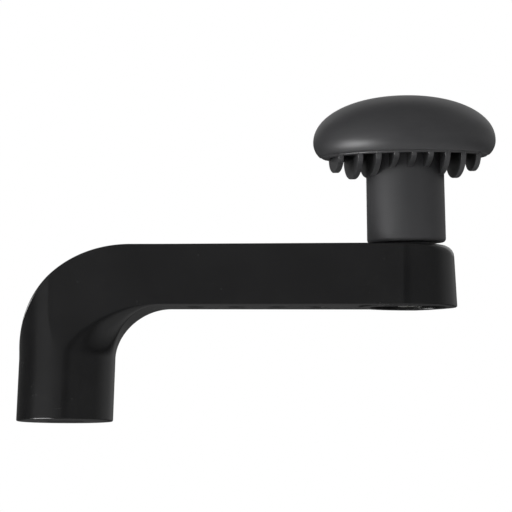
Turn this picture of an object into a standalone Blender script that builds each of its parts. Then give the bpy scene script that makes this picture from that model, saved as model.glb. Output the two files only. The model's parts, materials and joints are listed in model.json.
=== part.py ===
"""Crank handle: a hub, elbow and arm moulded in one, and a mushroom knob that spins on its end.

The frame is the foot's: the origin is the centre of the hub's foot, +Z runs up the socket's axis,
+X runs along the arm to the knob, and the knob stands on the arm's upper side.
"""

import math

import bmesh
import bpy
from mathutils import Matrix, Vector

MM = 0.001

# Clearance between pieces that seat on each other
SEAT_GAP = 0.3 * MM

# Hub: a round post that leans a little towards the knob, on a level foot
HUB_FOOT_RADIUS = 13.3 * MM
HUB_HEIGHT = 17.2 * MM
HUB_LEAN = math.radians(2.2)
HUB_DRAFT = math.radians(0.3)
HUB_FOOT_ROUND = 0.4 * MM

# Elbow: a round inner bend, and an outer bend that is fuller than an ellipse
INNER_BEND_RADIUS = 14.2 * MM
OUTER_BEND_REACH = 32.0 * MM
OUTER_BEND_POWER = 2.1
BLEND_POWER = 2.0
FLANK_FULL_AT = math.radians(30)

# Arm: an almost rectangular bar that grows a little thicker towards its end
ARM_THICKNESS = 16.7 * MM
ARM_END_THICKNESS = 16.95 * MM
ARM_HALF_WIDTH = 12.6 * MM
ARM_EDGE_ROUND = 0.5 * MM
SIDE_DRAFT = math.radians(3.8)
CRANK_RADIUS = 93.9 * MM

# Boss: the round end that carries the knob, with a walled recess below
BOSS_RADIUS = 13.4 * MM
TIP_ROUND = 3.3 * MM
RING_SETBACK = 0.25 * MM
RING_DROP = 0.3 * MM
RING_WALL = 2.6 * MM
RECESS_DEPTH = 5.8 * MM

# Square socket for the shaft, from the foot up
SOCKET_SIDE = 9.0 * MM
SOCKET_DEPTH = 20.0 * MM
SOCKET_LEAD_IN = 0.8 * MM

# Ejector marks, evenly spaced along the arm's underside between the bend and the boss
MARK_COUNT = 4
MARK_FROM_BEND = 7.9 * MM
MARK_FROM_BOSS = 11.1 * MM
MARK_RADIUS = 2.4 * MM
MARK_DEPTH = 0.25 * MM

# Knob: its axis leans a little towards the hub, and it has been turned about that axis
KNOB_LEAN = math.radians(1.5)
KNOB_TURN = math.radians(11.5)
KNOB_LIFT = 0.6 * MM
DOME_RADIUS = 25.0 * MM
DOME_CROWN = 12.65 * MM
DOME_POWER = 2.1
DOME_UNDER_RADIUS = 5.2 * MM
DOME_WAIST_HEIGHT = 28.35 * MM
LIP_DROP = 4.3 * MM
SHELL_WALL = 2.4 * MM
STEM_RADIUS = 10.8 * MM
STEM_DRAFT = math.radians(0.35)
STEM_FOOT_ROUND = 1.0 * MM
JOURNAL_RADIUS = 6.0 * MM

# Fins: parallel plates under the dome, whose lower edges swell down from the lip to the middle
FIN_COUNT = 9
FIN_PITCH = 4.71 * MM
FIN_THICKNESS = 1.5 * MM
FIN_DROP = 6.2 * MM
FIN_MIDDLE_DROP = 4.4 * MM
FIN_BITE = 0.8 * MM

# Washer and screw that keep the knob in the boss
WASHER_OVERLAP = 2.3 * MM
WASHER_THICKNESS = 1.5 * MM
WASHER_EDGE = 0.25 * MM
SCREW_RADIUS = 2.0 * MM
SCREW_LENGTH = 14.0 * MM
SCREW_HEAD_RADIUS = 3.6 * MM
SCREW_HEAD_HEIGHT = 3.0 * MM
SCREW_HEAD_ROUND = 1.5 * MM
SCREW_SLOT_LENGTH = 5.0 * MM
SCREW_SLOT_WIDTH = 1.1 * MM
SCREW_SLOT_DEPTH = 1.2 * MM

# Facets
BEND_STEPS = 20
CORNER_STEPS = 8
SIDE_STEPS = 8
EDGE_STEPS = 3
TIP_STEPS = 24
TURN_STEPS = 56
SMALL_TURN_STEPS = 32
CROWN_STEPS = 10
UNDER_STEPS = 4
CEILING_STEPS = 5
FIN_EDGE_STEPS = 6
ROUND_STEPS = 4

# Places that follow from the sizes above
ARM_TOP = HUB_HEIGHT + INNER_BEND_RADIUS + ARM_THICKNESS
ARM_BOTTOM = HUB_HEIGHT + INNER_BEND_RADIUS
ARM_END_TOP = ARM_BOTTOM + ARM_END_THICKNESS
HUB_TOP_X = HUB_HEIGHT * math.tan(HUB_LEAN)
HUB_TOP_RADIUS = HUB_FOOT_RADIUS - HUB_HEIGHT * math.tan(HUB_DRAFT)
BEND_X = HUB_TOP_X + HUB_TOP_RADIUS + INNER_BEND_RADIUS
BOSS_START = CRANK_RADIUS - BOSS_RADIUS
RING_RADIUS = BOSS_RADIUS - RING_SETBACK
RECESS_RADIUS = RING_RADIUS - RING_WALL
RING_BOTTOM = -ARM_END_THICKNESS - RING_DROP
BOSS_FLOOR = RING_BOTTOM + RECESS_DEPTH
BORE_RADIUS = JOURNAL_RADIUS + SEAT_GAP
WASHER_RADIUS = BORE_RADIUS + WASHER_OVERLAP
WASHER_TOP = BOSS_FLOOR - 2 * SEAT_GAP
SCREW_HOLE_RADIUS = SCREW_RADIUS + SEAT_GAP
SCREW_HEAD_TOP = WASHER_TOP - WASHER_THICKNESS - SEAT_GAP
CUT_PAST = 2.0 * MM


def clear_scene():
    for thing in list(bpy.data.objects):
        bpy.data.objects.remove(thing, do_unlink=True)


def make_material(name, colour, roughness, metallic=0.0):
    material = bpy.data.materials.new(name)
    material.use_nodes = True
    shader = material.node_tree.nodes["Principled BSDF"]
    shader.inputs["Base Color"].default_value = (*colour, 1.0)
    shader.inputs["Roughness"].default_value = roughness
    shader.inputs["Metallic"].default_value = metallic
    return material


def make_object(name, bm, material=None, parent=None, smooth_under=30):
    """Turn a bmesh into an object whose round faces are shaded smooth."""
    bmesh.ops.remove_doubles(bm, verts=bm.verts, dist=1e-7)
    bmesh.ops.recalc_face_normals(bm, faces=bm.faces)
    mesh = bpy.data.meshes.new(name)
    bm.to_mesh(mesh)
    bm.free()
    mesh.shade_smooth()
    mesh.set_sharp_from_angle(angle=math.radians(smooth_under))
    thing = bpy.data.objects.new(name, mesh)
    bpy.context.scene.collection.objects.link(thing)
    if material:
        mesh.materials.append(material)
    thing.parent = parent
    return thing


def make_cutter(name, bm, parent=None):
    cutter = make_object(name, bm, parent=parent)
    cutter.hide_render = True
    cutter.display_type = "WIRE"
    return cutter


def add_boolean(thing, other, operation):
    modifier = thing.modifiers.new(other.name, "BOOLEAN")
    modifier.operation = operation
    modifier.solver = "EXACT"
    modifier.object = other


def revolve(profile, steps=TURN_STEPS):
    """Spin a list of (radius, height) points about Z into a closed solid."""
    bm = bmesh.new()
    points = [bm.verts.new((radius, 0, height)) for radius, height in profile]
    edges = [bm.edges.new(pair) for pair in zip(points, points[1:])]
    bmesh.ops.spin(
        bm,
        geom=points + edges,
        cent=(0, 0, 0),
        axis=(0, 0, 1),
        angle=math.tau,
        steps=steps,
        use_merge=True,
    )
    bmesh.ops.remove_doubles(bm, verts=bm.verts, dist=1e-6)
    return bm


def cylinder(radius, low, high, steps=TURN_STEPS):
    return revolve([(0, low), (radius, low), (radius, high), (0, high)], steps)


def add_box(bm, size, centre):
    matrix = Matrix.LocRotScale(Vector(centre), None, Vector(size))
    bmesh.ops.create_cube(bm, size=1.0, matrix=matrix)


def smooth_ramp(share):
    share = max(0.0, min(1.0, share))
    return share * share * (3 - 2 * share)


def quarter(steps):
    """The (cosine, sine) pairs of a quarter turn, both ends included."""
    return [
        (math.cos(k * math.pi / 2 / steps), math.sin(k * math.pi / 2 / steps))
        for k in range(steps + 1)
    ]


def half_section(inner, outer, half_width, corner, draft, outer_round):
    """Half of one cross-section, from the middle of its inner face to the middle of its outer.

    inner and outer are (x, z) points. corner is the size of the inner corner's rounding. Where
    the side would reach past the hub's round plan, it follows that plan out to the outer face.
    """
    along = Vector(outer) - Vector(inner)
    length = along.length
    along.normalize()

    def width_at(run, half=half_width):
        return half + (length / 2 - run) * math.tan(draft)

    rows = [(0.0, 0.0)]
    for cosine, sine in quarter(CORNER_STEPS):
        run = corner * (1 - cosine)
        rows.append((run, width_at(run) - corner * (1 - sine)))
    side_end = length - outer_round
    reach = HUB_TOP_X - inner[0] - along.x * side_end
    first = math.acos(min(1.0, half_width / HUB_TOP_RADIUS))
    if reach > HUB_TOP_RADIUS * math.sin(first):
        last = math.asin(min(1.0, reach / HUB_TOP_RADIUS))
        for k in range(SIDE_STEPS + 1):
            angle = first + (last - first) * k / SIDE_STEPS
            run = (inner[0] - HUB_TOP_X + HUB_TOP_RADIUS * math.sin(angle)) / -along.x
            rows.append((run, width_at(run, HUB_TOP_RADIUS * math.cos(angle))))
    else:
        rows += [(side_end, width_at(side_end))] * (SIDE_STEPS + 1)
    side_width = rows[-1][1]
    for cosine, sine in quarter(EDGE_STEPS)[1:]:
        rows.append((length - outer_round * (1 - sine), side_width - outer_round * (1 - cosine)))
    rows.append((length, 0.0))
    return [(inner[0] + along.x * run, width, inner[1] + along.y * run) for run, width in rows]


def mirror_half(half):
    """The whole ring of a half-section: across Y and back."""
    return half + [(x, -y, z) for x, y, z in reversed(half[1:-1])]


def hub_rings():
    rings = []
    for height, inset in ((0.0, HUB_FOOT_ROUND), (HUB_FOOT_ROUND, 0.0), (HUB_HEIGHT, 0.0)):
        centre = height * math.tan(HUB_LEAN)
        radius = HUB_FOOT_RADIUS - height * math.tan(HUB_DRAFT) - inset
        scale = radius / HUB_TOP_RADIUS
        rings.append(
            [
                (centre + (x - HUB_TOP_X) * scale, y * scale, height)
                for x, y, _ in mirror_half(elbow_section(0.0))
            ]
        )
    return rings[:-1]


def elbow_section(angle):
    """The half-section that stands at this angle of the bend, from the hub's top at 0."""
    centre = (BEND_X, HUB_HEIGHT)
    inner = (
        centre[0] - INNER_BEND_RADIUS * math.cos(angle),
        centre[1] + INNER_BEND_RADIUS * math.sin(angle),
    )
    outer_centre_x = HUB_TOP_X - HUB_TOP_RADIUS + OUTER_BEND_REACH
    power = 2 / OUTER_BEND_POWER
    outer = (
        outer_centre_x - OUTER_BEND_REACH * max(0.0, math.cos(angle)) ** power,
        HUB_HEIGHT + (ARM_TOP - HUB_HEIGHT) * math.sin(angle) ** power,
    )
    share = angle / (math.pi / 2)
    half_width = HUB_TOP_RADIUS + (ARM_HALF_WIDTH - HUB_TOP_RADIUS) * smooth_ramp(
        angle / FLANK_FULL_AT
    )
    corner = ARM_EDGE_ROUND + (HUB_TOP_RADIUS - ARM_EDGE_ROUND) * (1 - share) ** BLEND_POWER
    outer_round = ARM_EDGE_ROUND * smooth_ramp(2 * share)
    return half_section(inner, outer, half_width, corner, SIDE_DRAFT * share, outer_round)


def arm_section(x, top_round=ARM_EDGE_ROUND):
    """The half-section at this place along the arm, whose top is level over the boss."""
    rise = min(1.0, (x - BEND_X) / (BOSS_START - BEND_X))
    top = ARM_TOP + (ARM_END_TOP - ARM_TOP) * rise
    share = (x - BEND_X) / (CRANK_RADIUS - BEND_X)
    half_width = ARM_HALF_WIDTH + (BOSS_RADIUS - ARM_HALF_WIDTH) * share
    return half_section(
        (x, ARM_BOTTOM), (x, top), half_width, ARM_EDGE_ROUND, SIDE_DRAFT, top_round
    )


def skin(bm, first, second, closed):
    """Faces between two rows of points, which may share their points."""
    pairs = list(zip(first, first[1:], second[1:], second))
    if closed:
        pairs.append((first[-1], first[0], second[0], second[-1]))
    for corners in pairs:
        corners = list(dict.fromkeys(corners))
        if len(corners) > 2:
            bm.faces.new(corners)


def arm_body():
    """Loft the hub, the elbow and the arm, and close the arm's end with a turned half."""
    rings = hub_rings()
    rings += [
        mirror_half(elbow_section(step / BEND_STEPS * math.pi / 2)) for step in range(BEND_STEPS)
    ]
    rings += [mirror_half(arm_section(x)) for x in (BEND_X, BOSS_START, CRANK_RADIUS)]
    bm = bmesh.new()
    rows = [[bm.verts.new(point) for point in ring] for ring in rings]
    for first, second in zip(rows, rows[1:]):
        skin(bm, first, second, closed=True)
    bm.faces.new(rows[0])
    last = rows[-1]
    middle = len(last) // 2
    near = last[: middle + 1]
    far = [last[0]] + list(reversed(last[middle:]))
    previous = near
    for step in range(1, TIP_STEPS):
        turn = math.pi * step / TIP_STEPS
        tip_round = ARM_EDGE_ROUND + (TIP_ROUND - ARM_EDGE_ROUND) * math.sin(turn) ** 2
        half = arm_section(CRANK_RADIUS, tip_round)
        row = [near[0]]
        for _, reach, height in half[1:-1]:
            place = (CRANK_RADIUS + reach * math.sin(turn), reach * math.cos(turn), height)
            row.append(bm.verts.new(place))
        row.append(near[-1])
        skin(bm, previous, row, closed=False)
        previous = row
    skin(bm, previous, far, closed=False)
    return bm


def socket_cut():
    """The square socket, with a lead-in at its mouth."""
    bm = bmesh.new()
    rings = []
    for height, side in (
        (-CUT_PAST, SOCKET_SIDE + 2 * (SOCKET_LEAD_IN + CUT_PAST)),
        (SOCKET_LEAD_IN, SOCKET_SIDE),
        (SOCKET_DEPTH, SOCKET_SIDE),
    ):
        half = side / 2
        corners = ((-half, -half), (half, -half), (half, half), (-half, half))
        rings.append([bm.verts.new((x, y, height)) for x, y in corners])
    for first, second in zip(rings, rings[1:]):
        skin(bm, first, second, closed=True)
    bm.faces.new(rings[0])
    bm.faces.new(rings[-1])
    return bm


def make_crank_arm(plastic, knob_axis):
    arm = make_object("crank_arm", arm_body(), plastic)
    ring = cylinder(RING_RADIUS, ARM_BOTTOM - RING_DROP, ARM_BOTTOM + CUT_PAST)
    bmesh.ops.translate(ring, verts=ring.verts, vec=(CRANK_RADIUS, 0, 0))
    add_boolean(arm, make_cutter("ring_form", ring), "UNION")
    add_boolean(arm, make_cutter("socket_form", socket_cut()), "DIFFERENCE")
    recess = cylinder(RECESS_RADIUS, RING_BOTTOM - CUT_PAST, BOSS_FLOOR)
    add_boolean(arm, make_cutter("recess_form", recess, knob_axis), "DIFFERENCE")
    bore = cylinder(BORE_RADIUS, BOSS_FLOOR - CUT_PAST, CUT_PAST)
    add_boolean(arm, make_cutter("bore_form", bore, knob_axis), "DIFFERENCE")
    first = BEND_X + MARK_FROM_BEND
    last = CRANK_RADIUS - RING_RADIUS - MARK_FROM_BOSS
    for number in range(MARK_COUNT):
        mark = cylinder(
            MARK_RADIUS, ARM_BOTTOM - CUT_PAST, ARM_BOTTOM + MARK_DEPTH, SMALL_TURN_STEPS
        )
        place = first + (last - first) * number / (MARK_COUNT - 1)
        bmesh.ops.translate(mark, verts=mark.verts, vec=(place, 0, 0))
        add_boolean(arm, make_cutter(f"mark_form_{number + 1}", mark), "DIFFERENCE")
    return arm


def dome_height(radius, inset=0.0):
    """Height of the dome's curve at this radius, or of the like curve that lies inset below it."""
    share = min(1.0, radius / (DOME_RADIUS - inset))
    return DOME_WAIST_HEIGHT + (DOME_CROWN - inset) * (1 - share**DOME_POWER) ** (1 / DOME_POWER)


def dome_profile():
    """The outer curve of the dome, from its top centre down to the lip."""
    points = []
    for k in range(CROWN_STEPS + 1):
        radius = DOME_RADIUS * math.sin(k / CROWN_STEPS * math.pi / 2)
        points.append((radius, dome_height(radius)))
    lip_turn = math.asin(LIP_DROP / DOME_UNDER_RADIUS)
    for k in range(1, UNDER_STEPS + 1):
        turn = lip_turn * k / UNDER_STEPS
        radius = DOME_RADIUS - DOME_UNDER_RADIUS * (1 - math.cos(turn))
        points.append((radius, DOME_WAIST_HEIGHT - DOME_UNDER_RADIUS * math.sin(turn)))
    return points


def pocket_ceiling(radius, inner, inset):
    """Points under the dome, from one radius to the other, at this depth below its curve."""
    points = []
    for k in range(CEILING_STEPS + 1):
        place = radius + (inner - radius) * k / CEILING_STEPS
        points.append((place, dome_height(place, inset)))
    return points


def stem_radius_at(height):
    return STEM_RADIUS - (height - KNOB_LIFT) * math.tan(STEM_DRAFT)


def knob_shell():
    """Dome, pocket, stem and journal as one turned shape with a blind screw hole."""
    points = dome_profile()
    lip_radius, lip_height = points[-1]
    pocket_radius = lip_radius - SHELL_WALL
    stem_top_radius = stem_radius_at(DOME_WAIST_HEIGHT + DOME_CROWN)
    points.append((pocket_radius, lip_height))
    points += pocket_ceiling(pocket_radius, stem_top_radius, SHELL_WALL)
    for cosine, sine in quarter(ROUND_STEPS):
        points.append(
            (
                STEM_RADIUS - STEM_FOOT_ROUND * (1 - cosine),
                KNOB_LIFT + STEM_FOOT_ROUND * (1 - sine),
            )
        )
    journal_end = WASHER_TOP + SEAT_GAP
    hole_top = SCREW_HEAD_TOP + SCREW_LENGTH + SEAT_GAP
    points += [
        (JOURNAL_RADIUS, KNOB_LIFT),
        (JOURNAL_RADIUS, journal_end),
        (SCREW_HOLE_RADIUS, journal_end),
        (SCREW_HOLE_RADIUS, hole_top),
        (0, hole_top),
    ]
    return revolve(points)


def fin_reach():
    """The radius that the fins reach out to, a bite inside the shell's wall."""
    return dome_profile()[-1][0] - SHELL_WALL + FIN_BITE


def fin_envelope():
    """The turned shape that trims the fins: it ends inside the shell and at the fins' reach."""
    low = DOME_WAIST_HEIGHT - LIP_DROP - DOME_RADIUS
    points = pocket_ceiling(0, fin_reach(), SHELL_WALL - FIN_BITE)
    points += [(fin_reach(), low), (0, low)]
    return revolve(points)


def fin_drop(across):
    """How far a fin's middle hangs below the lip, at this distance from the knob's axis."""
    if across <= STEM_RADIUS:
        return FIN_MIDDLE_DROP
    share = (across - STEM_RADIUS) / (fin_reach() - STEM_RADIUS)
    return FIN_DROP * max(0.0, 1 - share**2)


def fin_plates():
    """Parallel plates side by side, each with a lower edge that swells from the lip to its middle."""
    bm = bmesh.new()
    lip = DOME_WAIST_HEIGHT - LIP_DROP
    top = DOME_WAIST_HEIGHT + DOME_CROWN
    for number in range(FIN_COUNT):
        across = (number - (FIN_COUNT - 1) / 2) * FIN_PITCH
        half = math.sqrt(max(0.0, fin_reach() ** 2 - across**2)) + FIN_BITE
        outline = []
        for k in range(FIN_EDGE_STEPS + 1):
            share = 2 * k / FIN_EDGE_STEPS - 1
            outline.append((half * share, lip - fin_drop(abs(across)) * (1 - share**2)))
        outline += [(half, top), (-half, top)]
        left = across - FIN_THICKNESS / 2
        side = bm.faces.new([bm.verts.new((left, along, height)) for along, height in outline])
        grown = bmesh.ops.extrude_face_region(bm, geom=[side])["geom"]
        verts = [item for item in grown if isinstance(item, bmesh.types.BMVert)]
        bmesh.ops.translate(bm, verts=verts, vec=(FIN_THICKNESS, 0, 0))
    return bm


def make_knob(plastic, knob_axis):
    knob = make_object("knob", knob_shell(), plastic, knob_axis)
    plates = make_cutter("fin_plates", fin_plates(), knob_axis)
    add_boolean(plates, make_cutter("fin_envelope", fin_envelope(), knob_axis), "INTERSECT")
    add_boolean(knob, plates, "UNION")
    return knob


def make_washer(steel, knob_axis):
    low = WASHER_TOP - WASHER_THICKNESS
    bm = revolve(
        [
            (SCREW_HOLE_RADIUS, WASHER_TOP),
            (SCREW_HOLE_RADIUS, low),
            (WASHER_RADIUS - WASHER_EDGE, low),
            (WASHER_RADIUS, low + WASHER_EDGE),
            (WASHER_RADIUS, WASHER_TOP - WASHER_EDGE),
            (WASHER_RADIUS - WASHER_EDGE, WASHER_TOP),
            (SCREW_HOLE_RADIUS, WASHER_TOP),
        ],
        SMALL_TURN_STEPS,
    )
    return make_object("retaining_washer", bm, steel, knob_axis)


def make_screw(steel, knob_axis):
    head_low = SCREW_HEAD_TOP - SCREW_HEAD_HEIGHT
    tip = SCREW_HEAD_TOP + SCREW_LENGTH
    points = [(0, head_low)]
    for cosine, sine in reversed(quarter(ROUND_STEPS)):
        radius = SCREW_HEAD_RADIUS - SCREW_HEAD_ROUND * (1 - cosine)
        points.append((radius, head_low + SCREW_HEAD_ROUND * (1 - sine)))
    points += [
        (SCREW_HEAD_RADIUS, SCREW_HEAD_TOP),
        (SCREW_RADIUS, SCREW_HEAD_TOP),
        (SCREW_RADIUS, tip - SCREW_RADIUS),
        (SCREW_RADIUS / 2, tip),
        (0, tip),
    ]
    screw = make_object("knob_screw", revolve(points, SMALL_TURN_STEPS), steel, knob_axis)
    for number, turn in enumerate((0.0, math.pi / 2), 1):
        slot = bmesh.new()
        add_box(slot, (SCREW_SLOT_LENGTH, SCREW_SLOT_WIDTH, 2 * SCREW_SLOT_DEPTH), (0, 0, head_low))
        bmesh.ops.rotate(slot, verts=slot.verts, matrix=Matrix.Rotation(turn, 3, "Z"))
        add_boolean(screw, make_cutter(f"slot_form_{number}", slot, knob_axis), "DIFFERENCE")
    return screw


def make_knob_axis():
    """The empty that the knob turns with: its Z is the knob's axis."""
    axis = bpy.data.objects.new("knob_axis", None)
    bpy.context.scene.collection.objects.link(axis)
    axis.location = (CRANK_RADIUS, 0, ARM_END_TOP)
    axis.rotation_mode = "ZYX"
    axis.rotation_euler = (0, -KNOB_LEAN, KNOB_TURN)
    return axis


def main():
    clear_scene()
    arm_plastic = make_material("gloss_black_plastic", (0.012, 0.012, 0.013), 0.28)
    knob_plastic = make_material("satin_grey_plastic", (0.045, 0.046, 0.048), 0.45)
    steel = make_material("plated_steel", (0.55, 0.55, 0.53), 0.35, 1.0)
    knob_axis = make_knob_axis()
    make_crank_arm(arm_plastic, knob_axis)
    make_knob(knob_plastic, knob_axis)
    make_washer(steel, knob_axis)
    make_screw(steel, knob_axis)


main()
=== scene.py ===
# Crank handle: the finished look of each moulding and of the fastening below the knob.
import json
import math

import bmesh
import bpy
from mathutils import Matrix, Quaternion, Vector


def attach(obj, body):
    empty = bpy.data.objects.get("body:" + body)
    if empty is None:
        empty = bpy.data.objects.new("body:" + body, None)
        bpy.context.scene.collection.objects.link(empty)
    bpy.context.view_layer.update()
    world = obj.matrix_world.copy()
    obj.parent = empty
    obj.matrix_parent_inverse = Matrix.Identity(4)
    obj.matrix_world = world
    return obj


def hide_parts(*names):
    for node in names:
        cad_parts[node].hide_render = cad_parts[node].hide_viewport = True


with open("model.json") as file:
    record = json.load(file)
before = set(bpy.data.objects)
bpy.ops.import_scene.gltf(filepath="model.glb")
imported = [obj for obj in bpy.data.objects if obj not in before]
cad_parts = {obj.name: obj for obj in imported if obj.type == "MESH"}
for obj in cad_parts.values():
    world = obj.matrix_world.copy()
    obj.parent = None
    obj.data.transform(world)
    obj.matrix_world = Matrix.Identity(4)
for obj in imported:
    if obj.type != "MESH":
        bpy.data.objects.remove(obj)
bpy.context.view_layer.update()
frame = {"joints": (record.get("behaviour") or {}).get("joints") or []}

mm = 0.001
mergeGap = 1e-4  # points nearer than this are one
cutPast = 2.0  # how far a cutting form runs on past what it cuts
smoothDeg = 40  # faces that meet at less than this are shaded as one
knobJoint = frame["joints"][0]
knobPlace = Vector(knobJoint["pos_m"])
knobLean = math.atan2(-knobJoint["axis"][0], knobJoint["axis"][2])


# Working helpers. Shapes are drawn in millimetres and brought to metres when they are finished,
# and their leans and drafts are in degrees.

def quarterTurn(steps):
    # cosine and sine pairs of a quarter turn, both ends included
    angles = [k * math.pi / 2 / steps for k in range(steps + 1)]
    return [(math.cos(a), math.sin(a)) for a in angles]


def easeInOut(share):
    share = max(0.0, min(1.0, share))
    return share * share * (3 - 2 * share)


def filletPoints(centre, radius, startDeg, endDeg, steps):
    # points along an arc in the radius and height plane
    points = []
    for k in range(steps + 1):
        a = math.radians(startDeg + (endDeg - startDeg) * k / steps)
        points.append((centre[0] + radius * math.cos(a), centre[1] + radius * math.sin(a)))
    return points


def spinProfile(profile, steps):
    # a profile of (radius, height) points, turned about Z into a closed shape
    bm = bmesh.new()
    verts = [bm.verts.new((radius, 0, height)) for radius, height in profile]
    edges = [bm.edges.new(pair) for pair in zip(verts, verts[1:])]
    bmesh.ops.spin(
        bm, geom=verts + edges, cent=(0, 0, 0), axis=(0, 0, 1),
        angle=math.tau, steps=steps, use_merge=True,
    )
    bmesh.ops.remove_doubles(bm, verts=bm.verts, dist=mergeGap)
    return bm


def extrudeThrough(bm, rows):
    # extrude the first row of points on through the others, point to point
    verts = [bm.verts.new(point) for point in rows[0]]
    edges = [bm.edges.new(pair) for pair in zip(verts, verts[1:])]
    for row in rows[1:]:
        grown = bmesh.ops.extrude_edge_only(bm, edges=edges)["geom"]
        newVerts = {item for item in grown if isinstance(item, bmesh.types.BMVert)}
        nextVerts = []
        for vert, place in zip(verts, row):
            ends = [edge.other_vert(vert) for edge in vert.link_edges]
            newVert = next(end for end in ends if end in newVerts)
            newVert.co = place
            nextVerts.append(newVert)
        verts = nextVerts
        edges = [
            item for item in grown
            if isinstance(item, bmesh.types.BMEdge) and set(item.verts) <= newVerts
        ]


def makeObject(name, bm, matrix=None):
    # close the shape up, and bring it to metres and to its place
    bmesh.ops.remove_doubles(bm, verts=bm.verts, dist=mergeGap)
    bmesh.ops.recalc_face_normals(bm, faces=bm.faces)
    bmesh.ops.scale(bm, vec=(mm, mm, mm), verts=bm.verts)
    if matrix:
        bmesh.ops.transform(bm, matrix=matrix, verts=bm.verts)
    mesh = bpy.data.meshes.new(name)
    bm.to_mesh(mesh)
    bm.free()
    piece = bpy.data.objects.new(name, mesh)
    bpy.context.scene.collection.objects.link(piece)
    return piece


def combine(piece, cutter, operation):
    # cut or join two pieces for good, and remove the second one
    modifier = piece.modifiers.new(cutter.name, "BOOLEAN")
    modifier.operation = operation
    modifier.solver = "EXACT"
    modifier.object = cutter
    seen = piece.evaluated_get(bpy.context.evaluated_depsgraph_get())
    mesh = bpy.data.meshes.new_from_object(seen)
    piece.modifiers.clear()
    piece.data = mesh
    bpy.data.objects.remove(cutter, do_unlink=True)


def finishPiece(piece, material, node, body):
    # give a piece its material and shading, hang it on its body, and hide the CAD part that it stands in
    # for
    piece.data.materials.clear()
    piece.data.materials.append(material)
    piece.data.shade_smooth()
    piece.data.set_sharp_from_angle(angle=math.radians(smoothDeg))
    modifier = piece.modifiers.new("evenShading", "WEIGHTED_NORMAL")
    modifier.keep_sharp = True
    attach(piece, body)
    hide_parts(node)
    print("made", piece.name, len(piece.data.polygons), "faces")


# Surface effects, each a node group that several materials use with their own values

def newGroup(name, numbers, results):
    # an effect works at a vector, takes some numbers, and puts out the results by name and kind
    group = bpy.data.node_groups.new(name, "ShaderNodeTree")
    group.interface.new_socket("Vector", in_out="INPUT", socket_type="NodeSocketVector")
    for label in numbers:
        group.interface.new_socket(label, in_out="INPUT", socket_type="NodeSocketFloat")
    for label, kind in results.items():
        group.interface.new_socket(label, in_out="OUTPUT", socket_type=kind)
    return group, group.nodes.new("NodeGroupInput"), group.nodes.new("NodeGroupOutput")


def feed(tree, socket, value):
    # link a socket to another, or set it to a value of its own
    if isinstance(value, bpy.types.NodeSocket):
        tree.links.new(value, socket)
    else:
        socket.default_value = value


def mathNode(tree, operation, *values):
    node = tree.nodes.new("ShaderNodeMath")
    node.operation = operation
    for socket, value in zip(node.inputs, values):
        feed(tree, socket, value)
    return node.outputs[0]


def noiseNode(tree, vector, scale, detail, roughness=0.5):
    node = tree.nodes.new("ShaderNodeTexNoise")
    tree.links.new(vector, node.inputs["Vector"])
    feed(tree, node.inputs["Scale"], scale)
    node.inputs["Detail"].default_value = detail
    node.inputs["Roughness"].default_value = roughness
    return node.outputs["Fac"]


def rangeNode(tree, value, span):
    # brings the span's two ends to 0 and 1, softly at both
    node = tree.nodes.new("ShaderNodeMapRange")
    node.interpolation_type = "SMOOTHSTEP"
    tree.links.new(value, node.inputs["Value"])
    node.inputs["From Min"].default_value, node.inputs["From Max"].default_value = span
    return node.outputs["Result"]


# In the three effects a size is a noise's scale on metres, so a larger one is finer, and a span
# runs from where a mark begins to where it is full.

skinSizes = {
    "grainDetail": 2.0,
    "waveSize": 110.0,
    "waveDetail": 1.0,
    "bumpDepth": 0.0001,
}


def makeMouldedSkin():
    # the tool's fine texture and the slow waves of shrinkage, as one normal
    group, given, result = newGroup(
        "mouldedSkin", ("Grain Size", "Grain Height", "Wave Height"), {"Normal": "NodeSocketVector"},
    )
    vector = given.outputs["Vector"]
    grain = noiseNode(group, vector, given.outputs["Grain Size"], skinSizes["grainDetail"])
    wave = noiseNode(group, vector, skinSizes["waveSize"], skinSizes["waveDetail"])
    height = mathNode(
        group, "ADD",
        mathNode(group, "MULTIPLY", grain, given.outputs["Grain Height"]),
        mathNode(group, "MULTIPLY", wave, given.outputs["Wave Height"]),
    )
    bump = group.nodes.new("ShaderNodeBump")
    bump.inputs["Strength"].default_value = 1.0
    bump.inputs["Distance"].default_value = skinSizes["bumpDepth"]
    group.links.new(height, bump.inputs["Height"])
    group.links.new(bump.outputs["Normal"], result.inputs["Normal"])
    return group


handlingSizes = {
    "patchDetail": 3.0,
    "patchRoughness": 0.6,
    "patchSpan": (0.35, 0.7),
    "strokes": ((0.5, 26.0), (-0.9, 34.0)),  # how far the scratches turn, and how long they are drawn out
    "strokeTurn": (0.4, 1.0, 0.7),  # how that turn is shared between X, Y and Z
    "strokeSize": 55.0,
    "strokeSpan": (0.735, 0.78),
    "strokePlaceSize": 45.0,
    "strokePlaceSpan": (0.5, 0.62),
    "dustSize": 650.0,
    "dustSpan": (0.16, 0.08),
    "dustPlaceSize": 170.0,
    "dustPlaceDetail": 2.0,
    "dustPlaceSpan": (0.56, 0.66),
}


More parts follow.
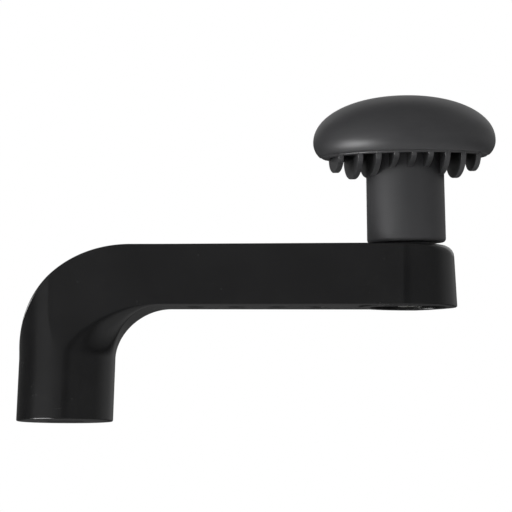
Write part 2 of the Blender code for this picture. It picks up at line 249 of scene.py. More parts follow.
def makeHandling():
    # where hands and rags have been: broad patches, fine straight scratches and specks of dust
    marks = ("Patches", "Scratches", "Dust")
    group, given, result = newGroup(
        "handling", ("Patch Size",), {label: "NodeSocketFloat" for label in marks},
    )
    vector = given.outputs["Vector"]
    broad = noiseNode(
        group, vector, given.outputs["Patch Size"],
        handlingSizes["patchDetail"], handlingSizes["patchRoughness"],
    )
    patches = rangeNode(group, broad, handlingSizes["patchSpan"])
    strokes = []
    for turn, stretch in handlingSizes["strokes"]:
        lay = group.nodes.new("ShaderNodeMapping")
        lay.inputs["Rotation"].default_value = Vector(handlingSizes["strokeTurn"]) * turn
        lay.inputs["Scale"].default_value = (1.0, stretch, stretch)
        group.links.new(vector, lay.inputs["Vector"])
        line = noiseNode(group, lay.outputs["Vector"], handlingSizes["strokeSize"], 1.0)
        strokes.append(rangeNode(group, line, handlingSizes["strokeSpan"]))
    strokePlaces = noiseNode(group, vector, handlingSizes["strokePlaceSize"], 1.0)
    scratches = mathNode(
        group, "MULTIPLY", mathNode(group, "MAXIMUM", *strokes),
        rangeNode(group, strokePlaces, handlingSizes["strokePlaceSpan"]),
    )
    specks = group.nodes.new("ShaderNodeTexVoronoi")
    specks.inputs["Scale"].default_value = handlingSizes["dustSize"]
    group.links.new(vector, specks.inputs["Vector"])
    dustPlaces = noiseNode(
        group, vector, handlingSizes["dustPlaceSize"], handlingSizes["dustPlaceDetail"],
    )
    dust = mathNode(
        group, "MULTIPLY", rangeNode(group, specks.outputs["Distance"], handlingSizes["dustSpan"]),
        rangeNode(group, dustPlaces, handlingSizes["dustPlaceSpan"]),
    )
    for label, mask in zip(marks, (patches, scratches, dust)):
        group.links.new(mask, result.inputs[label])
    return group


rubSizes = {
    "samples": 6,
    "bendSpan": (0.995, 0.86),  # how well the rounded normal agrees with the surface's own
    "breakSize": 320.0,
    "breakDetail": 3.0,
    "breakSpan": (0.38, 0.62),
}


def makeEdgeRub():
    # a mask along outer edges, broken up by noise, where the surface has been rubbed
    group, given, result = newGroup("edgeRub", ("Width",), {"Mask": "NodeSocketFloat"})
    rounded = group.nodes.new("ShaderNodeBevel")
    rounded.samples = rubSizes["samples"]
    group.links.new(given.outputs["Width"], rounded.inputs["Radius"])
    surface = group.nodes.new("ShaderNodeNewGeometry")
    agree = group.nodes.new("ShaderNodeVectorMath")
    agree.operation = "DOT_PRODUCT"
    group.links.new(rounded.outputs["Normal"], agree.inputs[0])
    group.links.new(surface.outputs["Normal"], agree.inputs[1])
    edge = rangeNode(group, agree.outputs["Value"], rubSizes["bendSpan"])
    breaks = noiseNode(group, given.outputs["Vector"], rubSizes["breakSize"], rubSizes["breakDetail"])
    mask = mathNode(group, "MULTIPLY", edge, rangeNode(group, breaks, rubSizes["breakSpan"]))
    group.links.new(mask, result.inputs["Mask"])
    return group


# Materials

finishes = {
    "arm": {
        "colour": (0.0065, 0.0065, 0.0068), "paler": (0.0095, 0.0095, 0.0098),
        "dusty": (0.028, 0.027, 0.026), "roughness": 0.155, "patchy": 0.035, "scratched": 0.12,
        "rubbed": 0.16, "grainSize": 2600.0, "grainHeight": 0.008, "waveHeight": 0.10,
        "edgeWidth": 0.0005, "patchSize": 70.0,
    },
    "knob": {
        "colour": (0.038, 0.038, 0.040), "paler": (0.046, 0.046, 0.048),
        "dusty": (0.085, 0.083, 0.08), "roughness": 0.40, "patchy": 0.05, "scratched": 0.08,
        "rubbed": -0.10, "grainSize": 3400.0, "grainHeight": 0.06, "waveHeight": 0.12,
        "edgeWidth": 0.0006, "patchSize": 45.0,
    },
    "steel": {
        "colour": (0.50, 0.50, 0.48), "paler": (0.60, 0.60, 0.57),
        "dusty": (0.16, 0.15, 0.13), "roughness": 0.30, "patchy": 0.12, "scratched": 0.15,
        "rubbed": -0.08, "grainSize": 5200.0, "grainHeight": 0.05, "waveHeight": 0.05,
        "edgeWidth": 0.0003, "patchSize": 240.0,
    },
}
# how much of each mask a finish takes
maskShares = {
    "patches": 0.6,
    "rubbed": 0.7,
    "dust": 0.45,
    "dustRoughness": 0.5,
}
mouldedSkin, handling, edgeRub = makeMouldedSkin(), makeHandling(), makeEdgeRub()


def newMaterial(name, colour, roughness, metallic=0.0):
    material = bpy.data.materials.new(name)
    material.use_nodes = True
    shader = material.node_tree.nodes["Principled BSDF"]
    shader.inputs["Base Color"].default_value = (*colour, 1.0)
    shader.inputs["Roughness"].default_value = roughness
    shader.inputs["Metallic"].default_value = metallic
    return material, material.node_tree, shader


def placeGroup(tree, group, vector, values):
    # an effect on one material, with the values that it takes there
    node = tree.nodes.new("ShaderNodeGroup")
    node.node_tree = group
    tree.links.new(vector, node.inputs["Vector"])
    for label, value in values.items():
        node.inputs[label].default_value = value
    return node


def mixColours(tree, mask, first, second):
    # the first colour, with the second in its place where the mask is full
    node = tree.nodes.new("ShaderNodeMix")
    node.data_type = "RGBA"
    tree.links.new(mask, node.inputs["Factor"])
    for label, value in (("A", first), ("B", second)):
        feed(tree, node.inputs[label], (*value, 1.0) if isinstance(value, tuple) else value)
    return node.outputs["Result"]


def finishedMaterial(name, finish, metallic=0.0):
    # one surface: its patches, dust and rubbed edges change its colour and its gloss
    material, tree, shader = newMaterial(name, finish["colour"], finish["roughness"], metallic)
    place = tree.nodes.new("ShaderNodeTexCoord").outputs["Object"]
    skin = placeGroup(
        tree, mouldedSkin, place,
        {"Grain Size": finish["grainSize"], "Grain Height": finish["grainHeight"],
         "Wave Height": finish["waveHeight"]},
    )
    use = placeGroup(tree, handling, place, {"Patch Size": finish["patchSize"]})
    rub = placeGroup(tree, edgeRub, place, {"Width": finish["edgeWidth"]})
    patches, scratches = use.outputs["Patches"], use.outputs["Scratches"]
    paled = mathNode(tree, "MULTIPLY", patches, maskShares["patches"])
    rubbed = mathNode(tree, "MULTIPLY", rub.outputs["Mask"], maskShares["rubbed"])
    dust = mathNode(tree, "MULTIPLY", use.outputs["Dust"], maskShares["dust"])
    colour = mixColours(tree, paled, finish["colour"], finish["paler"])
    colour = mixColours(tree, rubbed, colour, finish["paler"])
    colour = mixColours(tree, dust, colour, finish["dusty"])
    tree.links.new(colour, shader.inputs["Base Color"])
    rough = mathNode(tree, "MULTIPLY_ADD", patches, finish["patchy"], finish["roughness"])
    changes = (
        (scratches, finish["scratched"]), (rubbed, finish["rubbed"]), (dust, maskShares["dustRoughness"]),
    )
    for mask, change in changes:
        rough = mathNode(tree, "MULTIPLY_ADD", mask, change, rough)
    tree.links.new(rough, shader.inputs["Roughness"])
    tree.links.new(skin.outputs["Normal"], shader.inputs["Normal"])
    return material


# Crank arm

armSizes = {
    "hubFootRadius": 13.3,
    "hubHeight": 17.2,
    "hubLean": 2.2,
    "hubDraft": 0.3,
    "footRound": 0.4,
    "footSteps": 4,
    "innerBend": 14.2,
    "outerReach": 32.0,
    "outerPower": 2.1,
    "blendPower": 2.0,
    "blendEase": 0.15,  # lets the blend begin without a crease
    "flankFullAt": 30.0,
    "thickness": 16.7,
    "endThickness": 16.95,
    "halfWidth": 12.6,
    "edgeRound": 0.5,
    "sideDraft": 3.8,
    "crankRadius": knobPlace.x / mm,
    "bossRadius": 13.4,
    "tipRound": 3.3,
    "ringSetback": 0.25,
    "ringDrop": 0.3,
    "ringEdge": 0.2,
    "ringWall": 2.6,
    "recessDepth": 5.8,
    "recessRound": 0.35,
    "recessRoundSteps": 5,
    "boreRadius": 6.3,
    "socketSide": 9.0,
    "socketDepth": 20.0,
    "socketLeadIn": 0.8,
    "socketCorner": 0.5,
    "socketCornerSteps": 5,
    "markCount": 4,
    "markFromBend": 7.9,
    "markFromBoss": 11.1,
    "markRadius": 2.4,
    "markDepth": 0.25,
    "markSteps": 48,
    "bendSteps": 60,
    "cornerSteps": 16,
    "sideSteps": 16,
    "edgeSteps": 5,
    "tipSteps": 36,
    "turnSteps": 128,
}
armBottom = armSizes["hubHeight"] + armSizes["innerBend"]
armTop = armBottom + armSizes["thickness"]
armEndTop = armBottom + armSizes["endThickness"]
hubTopX = armSizes["hubHeight"] * math.tan(math.radians(armSizes["hubLean"]))
hubTopRadius = armSizes["hubFootRadius"] - armSizes["hubHeight"] * math.tan(
    math.radians(armSizes["hubDraft"])
)
bendX = hubTopX + hubTopRadius + armSizes["innerBend"]
bossStart = armSizes["crankRadius"] - armSizes["bossRadius"]
ringRadius = armSizes["bossRadius"] - armSizes["ringSetback"]
recessRadius = ringRadius - armSizes["ringWall"]
# the recess and the bore are cut along the knob's axis, so their floor is measured down it
recessFloor = -armSizes["endThickness"] - armSizes["ringDrop"] + armSizes["recessDepth"]


def halfSection(inner, outer, halfWidth, corner, draft, edge):
    # half of one cross-section, from the middle of the inner face to the middle of the outer
    along = Vector(outer) - Vector(inner)
    length = along.length
    along.normalize()

    def widthAt(run, half=halfWidth):
        return half + (length / 2 - run) * math.tan(draft)

    rows = [(0.0, 0.0)]
    for cosine, sine in quarterTurn(armSizes["cornerSteps"]):
        run = corner * (1 - cosine)
        rows.append((run, widthAt(run) - corner * (1 - sine)))
    sideEnd = length - edge
    reach = hubTopX - inner[0] - along.x * sideEnd
    first = math.acos(min(1.0, halfWidth / hubTopRadius))
    steps = armSizes["sideSteps"]
    if reach > hubTopRadius * math.sin(first):  # the side turns with the hub's round plan
        last = math.asin(min(1.0, reach / hubTopRadius))
        for k in range(steps + 1):
            angle = first + (last - first) * k / steps
            run = (inner[0] - hubTopX + hubTopRadius * math.sin(angle)) / -along.x
            rows.append((run, widthAt(run, hubTopRadius * math.cos(angle))))
    else:
        rows += [(sideEnd, widthAt(sideEnd))] * (steps + 1)
    sideWidth = rows[-1][1]
    for cosine, sine in quarterTurn(armSizes["edgeSteps"])[1:]:
        rows.append((length - edge * (1 - sine), sideWidth - edge * (1 - cosine)))
    rows.append((length, 0.0))
    return [(inner[0] + along.x * run, width, inner[1] + along.y * run) for run, width in rows]


def elbowSection(angle):
    innerBend, reach = armSizes["innerBend"], armSizes["outerReach"]
    inner = (
        bendX - innerBend * math.cos(angle),
        armSizes["hubHeight"] + innerBend * math.sin(angle),
    )
    power = 2 / armSizes["outerPower"]
    outer = (
        hubTopX - hubTopRadius + reach - reach * max(0.0, math.cos(angle)) ** power,
        armSizes["hubHeight"] + (armTop - armSizes["hubHeight"]) * math.sin(angle) ** power,
    )
    share = angle / (math.pi / 2)
    flank = easeInOut(angle / math.radians(armSizes["flankFullAt"]))
    halfWidth = hubTopRadius + (armSizes["halfWidth"] - hubTopRadius) * flank
    small = armSizes["edgeRound"]
    ease = armSizes["blendEase"]
    blend = share * share * (1 + ease) / (share + ease)
    corner = small + (hubTopRadius - small) * (1 - blend) ** armSizes["blendPower"]
    draft = math.radians(armSizes["sideDraft"]) * share
    return halfSection(inner, outer, halfWidth, corner, draft, small * easeInOut(2 * share))


def armSection(x, topRound):
    rise = min(1.0, (x - bendX) / (bossStart - bendX))
    top = armTop + (armEndTop - armTop) * rise
    share = (x - bendX) / (armSizes["crankRadius"] - bendX)
    halfWidth = armSizes["halfWidth"] + (armSizes["bossRadius"] - armSizes["halfWidth"]) * share
    draft = math.radians(armSizes["sideDraft"])
    return halfSection((x, armBottom), (x, top), halfWidth, armSizes["edgeRound"], draft, topRound)


def hubRows():
    # the hub's circle, rounded in at its foot and leaning towards the knob
    rows = []
    footRound = armSizes["footRound"]
    heights = [(footRound * (1 - c), footRound * (1 - s)) for c, s in quarterTurn(armSizes["footSteps"])]
    for height, inset in heights:
        radius = armSizes["hubFootRadius"] - height * math.tan(math.radians(armSizes["hubDraft"]))
        scale = (radius - inset) / hubTopRadius
        centre = height * math.tan(math.radians(armSizes["hubLean"]))
        rows.append(
            [(centre + (x - hubTopX) * scale, y * scale, height) for x, y, _ in elbowSection(0.0)]
        )
    return rows


def armBody():
    # half the moulding, extruded from the foot round the elbow to the tip, and its mirror half
    rows = hubRows()
    steps = armSizes["bendSteps"]
    rows += [elbowSection(k / steps * math.pi / 2) for k in range(steps)]
    rows += [armSection(x, armSizes["edgeRound"]) for x in (bendX, bossStart)]
    crank = armSizes["crankRadius"]
    for k in range(armSizes["tipSteps"] + 1):
        turn = math.pi / 2 * k / armSizes["tipSteps"]
        small, big = armSizes["edgeRound"], armSizes["tipRound"]
        tipRound = small + (big - small) * math.sin(turn) ** 2
        half = armSection(crank, tipRound)
        rows.append(
            [(crank + y * math.sin(turn), y * math.cos(turn), height) for _, y, height in half]
        )
    bm = bmesh.new()
    extrudeThrough(bm, rows)
    bmesh.ops.remove_doubles(bm, verts=bm.verts, dist=mergeGap)
    bmesh.ops.mirror(bm, geom=bm.verts[:] + bm.edges[:] + bm.faces[:], axis="Y", merge_dist=mergeGap)
    rim = [edge for edge in bm.edges if edge.is_boundary]
    bmesh.ops.holes_fill(bm, edges=rim, sides=0)
    return bm


def socketCutter():
    # a square shaft's hollow with rounded corners and a lead-in at its mouth
    side, depth = armSizes["socketSide"], armSizes["socketDepth"]
    middle, size = Vector((0, 0, (depth - cutPast) / 2)), Vector((side, side, depth + cutPast))
    bm = bmesh.new()
    bmesh.ops.create_cube(bm, size=1.0, matrix=Matrix.LocRotScale(middle, None, size))
    upright = [e for e in bm.edges if abs(e.verts[0].co.z - e.verts[1].co.z) > side / 2]
    bmesh.ops.bevel(
        bm, geom=upright, offset=armSizes["socketCorner"], affect="EDGES",
        segments=armSizes["socketCornerSteps"], profile=0.5, material=-1,
    )
    return bm


def leadInCutter():
    # a short square cone that opens the socket's mouth
    leadIn = armSizes["socketLeadIn"]
    bm = bmesh.new()
    made = bmesh.ops.create_cone(
        bm, segments=4, cap_ends=True, depth=cutPast + leadIn,
        radius1=(armSizes["socketSide"] / 2 + leadIn + cutPast) * math.sqrt(2),
        radius2=armSizes["socketSide"] / 2 * math.sqrt(2),
    )
    bmesh.ops.rotate(bm, verts=made["verts"], matrix=Matrix.Rotation(math.pi / 4, 3, "Z"))
    bmesh.ops.translate(bm, verts=made["verts"], vec=(0, 0, (leadIn - cutPast) / 2))
    return bm


def makeArm(material):
    arm = makeObject("crankArmMoulding", armBody())
    turns, crank = armSizes["turnSteps"], armSizes["crankRadius"]
    bossMatrix = Matrix.Translation((crank * mm, 0, 0))
    low, edge = armBottom - armSizes["ringDrop"], armSizes["ringEdge"]
    ring = spinProfile(
        [(0, low), (ringRadius - edge, low), (ringRadius, low + edge),
         (ringRadius, armBottom + cutPast), (0, armBottom + cutPast)], turns,
    )
    combine(arm, makeObject("ringForm", ring, bossMatrix), "UNION")
    combine(arm, makeObject("socketForm", socketCutter()), "DIFFERENCE")
    combine(arm, makeObject("leadInForm", leadInCutter()), "DIFFERENCE")
    mouth, soft = recessFloor - armSizes["recessDepth"], armSizes["recessRound"]
    outside = recessRadius + soft + cutPast
    recess = spinProfile(
        [(0, mouth - cutPast), (outside, mouth - cutPast), (outside, mouth)]
        + filletPoints(
            (recessRadius + soft, mouth + soft), soft, 270, 180, armSizes["recessRoundSteps"],
        )
        + [(recessRadius, recessFloor), (0, recessFloor)], turns,
    )
    combine(arm, makeObject("recessForm", recess, knobMatrix), "DIFFERENCE")
    boreRadius = armSizes["boreRadius"]
    bore = spinProfile(
        [(0, recessFloor - cutPast), (boreRadius, recessFloor - cutPast),
         (boreRadius, cutPast), (0, cutPast)], turns,
    )
    combine(arm, makeObject("boreForm", bore, knobMatrix), "DIFFERENCE")
    firstMark = bendX + armSizes["markFromBend"]
    lastMark = crank - ringRadius - armSizes["markFromBoss"]
    markRadius, top = armSizes["markRadius"], armBottom + armSizes["markDepth"]
    for number in range(armSizes["markCount"]):
        mark = spinProfile(
            [(0, armBottom - cutPast), (markRadius, armBottom - cutPast), (markRadius, top), (0, top)],
            armSizes["markSteps"],
        )
        place = firstMark + (lastMark - firstMark) * number / (armSizes["markCount"] - 1)
        markMatrix = Matrix.Translation((place * mm, 0, 0))
        combine(arm, makeObject("markForm", mark, markMatrix), "DIFFERENCE")
    finishPiece(arm, material, "crank_arm", "arm")


# Knob

knobSizes = {
    "turn": 11.5,
    "lift": 0.6,
    "domeRadius": 25.0,
    "domeCrown": 12.65,
    "domePower": 2.1,
    "underRadius": 5.2,
    "underSteps": 12,
    "waistHeight": 28.35,
    "lipDrop": 4.3,
    "lipRound": 0.45,
    "lipRoundSteps": 5,
    "wall": 2.4,
    "ceilingSteps": 16,
    "stemRadius": 10.8,
    "stemDraft": 0.35,
    "footRound": 1.0,
    "footRoundSteps": 8,
    "journalRadius": 6.0,
    "journalProud": 0.3,
    "screwHoleRadius": 2.3,
    "screwHoleTop": 0.6,
    "finCount": 9,
    "finPitch": 4.71,
    "finThickness": 1.5,
    "finDrops": (3.7, 3.7, 5.3, 5.7, 3.9),  # below the lip, from the middle fin outwards
    "finPower": 2.0,
    "finSetback": 0.3,
    "finBite": 0.8,
    "finRound": 0.22,
    "finRoundSteps": 3,
    "finSteps": 40,
    "turnSteps": 160,
    "crownSteps": 40,
}
knobMatrix = (
    Matrix.Translation(knobPlace)
    @ Matrix.Rotation(-knobLean, 4, "Y")
    @ Matrix.Rotation(math.radians(knobSizes["turn"]), 4, "Z")
)
journalEnd = recessFloor - knobSizes["journalProud"]


def domeHeight(radius, inset=0.0):
    share = min(1.0, radius / (knobSizes["domeRadius"] - inset))
    power = knobSizes["domePower"]
    crown = knobSizes["domeCrown"] - inset
    return knobSizes["waistHeight"] + crown * (1 - share**power) ** (1 / power)


def stemRadiusAt(height):
    draft = math.tan(math.radians(knobSizes["stemDraft"]))
    return knobSizes["stemRadius"] - (height - knobSizes["lift"]) * draft


def lipPlace():
    turn = math.asin(knobSizes["lipDrop"] / knobSizes["underRadius"])
    radius = knobSizes["domeRadius"] - knobSizes["underRadius"] * (1 - math.cos(turn))
    return turn, radius, knobSizes["waistHeight"] - knobSizes["lipDrop"]


def knobShell():
    # dome, pocket, stem and journal as one turned shape
    lipTurn, lipRadius, lipHeight = lipPlace()
    points = []
    steps = knobSizes["crownSteps"]
    for k in range(steps + 1):
        radius = knobSizes["domeRadius"] * math.sin(k / steps * math.pi / 2)
        points.append((radius, domeHeight(radius)))
    for k in range(1, knobSizes["underSteps"] + 1):
        turn = lipTurn * k / knobSizes["underSteps"]
        points.append(
            (
                knobSizes["domeRadius"] - knobSizes["underRadius"] * (1 - math.cos(turn)),
                knobSizes["waistHeight"] - knobSizes["underRadius"] * math.sin(turn),
            )
        )
    points = [point for point in points if point[1] > lipHeight + knobSizes["lipRound"]]
    soft, softSteps = knobSizes["lipRound"], knobSizes["lipRoundSteps"]
    points += filletPoints((lipRadius - soft, lipHeight + soft), soft, 0, -90, softSteps)
    pocketRadius = lipRadius - knobSizes["wall"]
    points += filletPoints((pocketRadius + soft, lipHeight + soft), soft, -90, -180, softSteps)
    stemTop = stemRadiusAt(knobSizes["waistHeight"] + knobSizes["domeCrown"])
    for k in range(knobSizes["ceilingSteps"] + 1):
        radius = pocketRadius + (stemTop - pocketRadius) * k / knobSizes["ceilingSteps"]
        points.append((radius, domeHeight(radius, knobSizes["wall"])))
    lift, foot = knobSizes["lift"], knobSizes["footRound"]
    footCentre = (knobSizes["stemRadius"] - foot, lift + foot)
    points += filletPoints(footCentre, foot, 0, -90, knobSizes["footRoundSteps"])
    points += [
        (knobSizes["journalRadius"], lift),
        (knobSizes["journalRadius"], journalEnd),
        (knobSizes["screwHoleRadius"], journalEnd),
        (knobSizes["screwHoleRadius"], knobSizes["screwHoleTop"]),
        (0, knobSizes["screwHoleTop"]),
    ]
    return spinProfile(points, knobSizes["turnSteps"])


def finPlate(fromMiddle):
    # one fin: its side outline, given a thickness, with its swelling lower edge rounded
    _, lipRadius, lipHeight = lipPlace()
    across = fromMiddle * knobSizes["finPitch"]
    drop = knobSizes["finDrops"][abs(round(fromMiddle))]
    rim = lipRadius - knobSizes["finSetback"]
    reach = math.sqrt(rim**2 - across**2)
    power = knobSizes["finPower"]
    lower, upper = [], []
    for k in range(knobSizes["finSteps"] + 1):
        share = -math.cos(math.pi * k / knobSizes["finSteps"])
        run = reach * share
        lower.append((across, run, lipHeight - drop * (1 - abs(share) ** power) ** (1 / power)))
        top = domeHeight(math.hypot(across, run), knobSizes["wall"] - knobSizes["finBite"])
        upper.append((across, run, top))
    bm = bmesh.new()
    outline = [bm.verts.new(point) for point in lower + upper[::-1]]
    side = bm.faces.new(outline)
    grown = bmesh.ops.extrude_face_region(bm, geom=[side])["geom"]
    newVerts = [item for item in grown if isinstance(item, bmesh.types.BMVert)]
    bmesh.ops.translate(bm, verts=newVerts, vec=(knobSizes["finThickness"], 0, 0))
    bmesh.ops.translate(bm, verts=bm.verts, vec=(-knobSizes["finThickness"] / 2, 0, 0))
    lowerEdges = [
        edge for edge in bm.edges
        if abs(edge.verts[0].co.x - edge.verts[1].co.x) < mergeGap
        and all(vert.co.z < lipHeight + mergeGap for vert in edge.verts)
    ]
    bmesh.ops.bevel(
        bm, geom=lowerEdges, offset=knobSizes["finRound"], affect="EDGES",
        segments=knobSizes["finRoundSteps"], profile=0.5, material=-1, clamp_overlap=True,
    )
    return bm


def makeKnob(material):
    knob = makeObject("palmKnob", knobShell(), knobMatrix)
    middle = (knobSizes["finCount"] - 1) / 2
    for number in range(knobSizes["finCount"]):
        combine(knob, makeObject("finForm", finPlate(number - middle), knobMatrix), "UNION")
    finishPiece(knob, material, "knob", "knob")


# Washer under the boss

washerSizes = {
    "radius": 8.6,
    "hole": 2.3,
    "thickness": 1.5,
    "edge": 0.25,
    "edgeSteps": 4,
    "turnSteps": 96,
    "gapAbove": 0.3,
}
washerTop = journalEnd - washerSizes["gapAbove"]
washerLow = washerTop - washerSizes["thickness"]


def makeWasher(material):
    radius, edge, hole = washerSizes["radius"], washerSizes["edge"], washerSizes["hole"]
    steps = washerSizes["edgeSteps"]
    outline = [(hole, washerLow)]
    outline += filletPoints((radius - edge, washerLow + edge), edge, -90, 0, steps)
    outline += filletPoints((radius - edge, washerTop - edge), edge, 0, 90, steps)
    outline += [(hole, washerTop), (hole, washerLow)]
    washer = makeObject("steelWasher", spinProfile(outline, washerSizes["turnSteps"]), knobMatrix)
    finishPiece(washer, material, "retaining_washer", "knob")


# Screw that holds the washer to the knob

screwSizes = {
    "shankRadius": 2.0,
    "length": 14.0,
    "headRadius": 3.6,
    "headHeight": 3.0,
    "headRound": 1.5,
    "headRoundSteps": 8,
    "turnSteps": 64,
    "gapAbove": 0.3,
    "crossLength": 5.0,
    "crossWidth": 1.1,
    "crossDepth": 1.2,
}
headTop = washerLow - screwSizes["gapAbove"]


def makeScrew(material):
    low = headTop - screwSizes["headHeight"]
    radius, crown = screwSizes["headRadius"], screwSizes["headRound"]
    shank, tip = screwSizes["shankRadius"], headTop + screwSizes["length"]
    outline = [(0, low)]
    outline += filletPoints((radius - crown, low + crown), crown, -90, 0, screwSizes["headRoundSteps"])
    outline += [(radius, headTop), (shank, headTop), (shank, tip - shank), (shank / 2, tip), (0, tip)]
    screw = makeObject("crossScrew", spinProfile(outline, screwSizes["turnSteps"]), knobMatrix)
    size = Vector((screwSizes["crossLength"], screwSizes["crossWidth"], 2 * screwSizes["crossDepth"]))
    for turn in (0.0, math.pi / 2):
        bm = bmesh.new()
        place = Matrix.LocRotScale(Vector((0, 0, low)), Matrix.Rotation(turn, 3, "Z"), size)
        bmesh.ops.create_cube(bm, size=1.0, matrix=place)
        combine(screw, makeObject("crossForm", bm, knobMatrix), "DIFFERENCE")
    finishPiece(screw, material, "knob_screw", "knob")


# Stage

stageSizes = {
    "azimuth": 5.5,
    "elevation": -3.2,
    "roll": 0.3,
    "distance": 3.0,
    "imagePixels": 512,
    "pixelsPerMm": 3.65,
    "target": (0.0525, 0.0, 0.0454),
    "sensor": 36.0,
    "clip": (0.5, 30.0),
    "floorDrop": 0.14,
    "floorHalfSide": 6.0,
    "floorColour": (0.9, 0.9, 0.9),
    "floorRoughness": 0.8,
    "floorGlow": 0.35,  # how much lighter the camera sees the floor than its light makes it
    "whiteInGloss": 0.03,  # how much of the white background the glossy mouldings mirror
    "lampAim": (0.05, 0.0, 0.045),
}
# how bright the room is at each bearing, from the object's left at -90 by its front at 0 to its right at 90
roomLevels = (
    (-90, 0.06), (-80, 0.14), (-68, 0.34), (-45, 0.38), (-8, 0.22), (0, 0.04), (9, 0.04),
    (17, 0.15), (82, 0.16), (110, 0.33), (150, 0.30), (166, 0.16), (176, 0.04), (198, 0.04),
    (210, 0.07), (248, 0.05), (268, 0.05),
)
# how bright it is below and overhead, and how far that takes over, by the sine of the height
roomHeights = ((-1.0, 0.45), (-0.75, 0.40), (-0.36, 0.01), (-0.1, 0.01), (0.8, 0.12), (1.0, 0.12))
roomBlend = ((-1.0, 1.0), (-0.34, 1.0), (-0.06, 0.0), (0.78, 0.0), (0.92, 1.0))
# bearing and height in degrees, distance and sides in metres, brightness, lights matt, seen in gloss
lamps = {
    "frontLeftSoftbox": (-24, 4, 1.1, (1.0, 0.40), 4.4, True, False),
    "leftFill": (-88, 12, 1.0, (0.6, 0.5), 2.0, True, False),
    "backSoftbox": (185, 26, 1.2, (1.6, 0.8), 0.45, True, True),
    "topSoftbox": (0, 85, 1.0, (1.0, 1.0), 0.75, True, False),
    "rightFill": (55, 4, 1.0, (0.7, 0.4), 1.6, True, False),
    "lowLeftCard": (-57, -25, 0.28, (0.19, 0.10), 15.0, False, True),
    "lowFrontFill": (5, -25, 0.32, (0.30, 0.10), 2.4, True, False),
}


def directionOf(bearing, height):
    a, e = math.radians(bearing), math.radians(height)
    return Vector((math.sin(a) * math.cos(e), -math.cos(a) * math.cos(e), math.sin(e)))


def makeCamera():
    back = directionOf(stageSizes["azimuth"], stageSizes["elevation"])
    data = bpy.data.cameras.new("photoCamera")
    data.sensor_width = stageSizes["sensor"]
    imageWidth = stageSizes["imagePixels"] / stageSizes["pixelsPerMm"] * mm
    data.lens = stageSizes["sensor"] * stageSizes["distance"] / imageWidth
    data.clip_start, data.clip_end = stageSizes["clip"]
    camera = bpy.data.objects.new("photoCamera", data)
    camera.location = Vector(stageSizes["target"]) + back * stageSizes["distance"]
    roll = Quaternion((0, 0, 1), math.radians(stageSizes["roll"]))
    camera.rotation_euler = ((-back).to_track_quat("-Z", "Y") @ roll).to_euler()
    bpy.context.scene.collection.objects.link(camera)
    bpy.context.scene.camera = camera


def makeLamp(name, bearing, height, distance, sides, brightness, onMatt, inGloss):
    # brightness is the lamp's own, where 1 is white, so its power goes with its area
    data = bpy.data.lights.new(name, "AREA")
    data.shape = "RECTANGLE"
    data.size, data.size_y = sides
    data.energy = brightness * math.pi * sides[0] * sides[1]
    lamp = bpy.data.objects.new(name, data)
    toLamp = directionOf(bearing, height)
    lamp.location = Vector(stageSizes["lampAim"]) + toLamp * distance
    lamp.rotation_euler = (-toLamp).to_track_quat("-Z", "Y").to_euler()
    lamp.visible_camera = False
    lamp.visible_diffuse = onMatt
    lamp.visible_glossy = inGloss
    bpy.context.scene.collection.objects.link(lamp)


def levelRamp(tree, value, stops, first, last):
    # a grey level at each stop between first and last, with straight runs from stop to stop
    node = tree.nodes.new("ShaderNodeValToRGB")
    tree.links.new(value, node.inputs["Fac"])
    elements = node.color_ramp.elements
    while len(elements) < len(stops):
        elements.new(0.5)
    for element, (place, level) in zip(elements, stops):
        element.position = (place - first) / (last - first)
        element.color = (level, level, level, 1)
    return node.outputs["Color"]


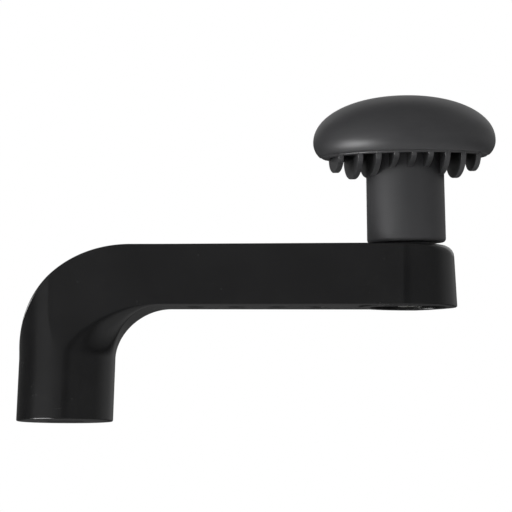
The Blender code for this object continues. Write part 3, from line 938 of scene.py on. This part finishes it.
def makeWorld():
    # white where the camera sees it, and for all else a dim room with a little of that white
    world = bpy.data.worlds.new("softRoom")
    world.use_nodes = True
    bpy.context.scene.world = world
    tree = world.node_tree
    nodes, links = tree.nodes, tree.links
    room = nodes["Background"]
    seen = nodes.new("ShaderNodeBackground")
    seen.inputs["Color"].default_value = (1, 1, 1, 1)
    where = nodes.new("ShaderNodeTexCoord")
    bearing = nodes.new("ShaderNodeTexGradient")
    bearing.gradient_type = "RADIAL"
    split = nodes.new("ShaderNodeSeparateXYZ")
    upDown = nodes.new("ShaderNodeMapRange")
    upDown.inputs["From Min"].default_value = -1.0
    levels = levelRamp(tree, bearing.outputs["Fac"], roomLevels, -90, 270)
    heights = levelRamp(tree, upDown.outputs["Result"], roomHeights, -1, 1)
    blend = levelRamp(tree, upDown.outputs["Result"], roomBlend, -1, 1)
    mixed = nodes.new("ShaderNodeMix")
    mixed.data_type = "RGBA"
    links.new(where.outputs["Generated"], bearing.inputs["Vector"])
    links.new(where.outputs["Generated"], split.inputs[0])
    links.new(split.outputs["Z"], upDown.inputs["Value"])
    links.new(blend, mixed.inputs["Factor"])
    links.new(levels, mixed.inputs["A"])
    links.new(heights, mixed.inputs["B"])
    links.new(mixed.outputs["Result"], room.inputs["Color"])
    path = nodes.new("ShaderNodeLightPath")
    seenBy = mathNode(
        tree, "MAXIMUM", path.outputs["Is Camera Ray"], path.outputs["Is Transmission Ray"],
    )
    mirrored = mathNode(tree, "MULTIPLY", path.outputs["Is Glossy Ray"], stageSizes["whiteInGloss"])
    choose = nodes.new("ShaderNodeMixShader")
    links.new(mathNode(tree, "MAXIMUM", seenBy, mirrored), choose.inputs["Fac"])
    links.new(room.outputs[0], choose.inputs[1])
    links.new(seen.outputs[0], choose.inputs[2])
    links.new(choose.outputs[0], nodes["World Output"].inputs["Surface"])


def makeFloor():
    # pale from above, and clear from below so that the underside can be looked at
    bm = bmesh.new()
    bmesh.ops.create_grid(bm, x_segments=1, y_segments=1, size=stageSizes["floorHalfSide"])
    bmesh.ops.translate(bm, verts=bm.verts, vec=(0, 0, -stageSizes["floorDrop"]))
    mesh = bpy.data.meshes.new("paleFloor")
    bm.to_mesh(mesh)
    bm.free()
    floor = bpy.data.objects.new("paleFloor", mesh)
    floor.visible_glossy = False  # the glossy mouldings mirror the room and not the floor
    bpy.context.scene.collection.objects.link(floor)
    material, tree, shader = newMaterial(
        "paleFloor", stageSizes["floorColour"], stageSizes["floorRoughness"],
    )
    path = tree.nodes.new("ShaderNodeLightPath")
    glow = mathNode(tree, "MULTIPLY", path.outputs["Is Camera Ray"], stageSizes["floorGlow"])
    shader.inputs["Emission Color"].default_value = (1, 1, 1, 1)
    tree.links.new(glow, shader.inputs["Emission Strength"])
    side = tree.nodes.new("ShaderNodeNewGeometry")
    clear = tree.nodes.new("ShaderNodeBsdfTransparent")
    either = tree.nodes.new("ShaderNodeMixShader")
    tree.links.new(side.outputs["Backfacing"], either.inputs["Fac"])
    tree.links.new(shader.outputs[0], either.inputs[1])
    tree.links.new(clear.outputs[0], either.inputs[2])
    tree.links.new(either.outputs[0], tree.nodes["Material Output"].inputs["Surface"])
    mesh.materials.append(material)


def makeStage():
    makeCamera()
    makeWorld()
    makeFloor()
    for name, settings in lamps.items():
        makeLamp(name, *settings)
    bpy.context.scene.view_settings.view_transform = "Standard"
    print("stage ready")


makeStage()
makeArm(finishedMaterial("armPlastic", finishes["arm"]))
makeKnob(finishedMaterial("knobPlastic", finishes["knob"]))
platedSteel = finishedMaterial("platedSteel", finishes["steel"], metallic=1.0)
makeWasher(platedSteel)
makeScrew(platedSteel)
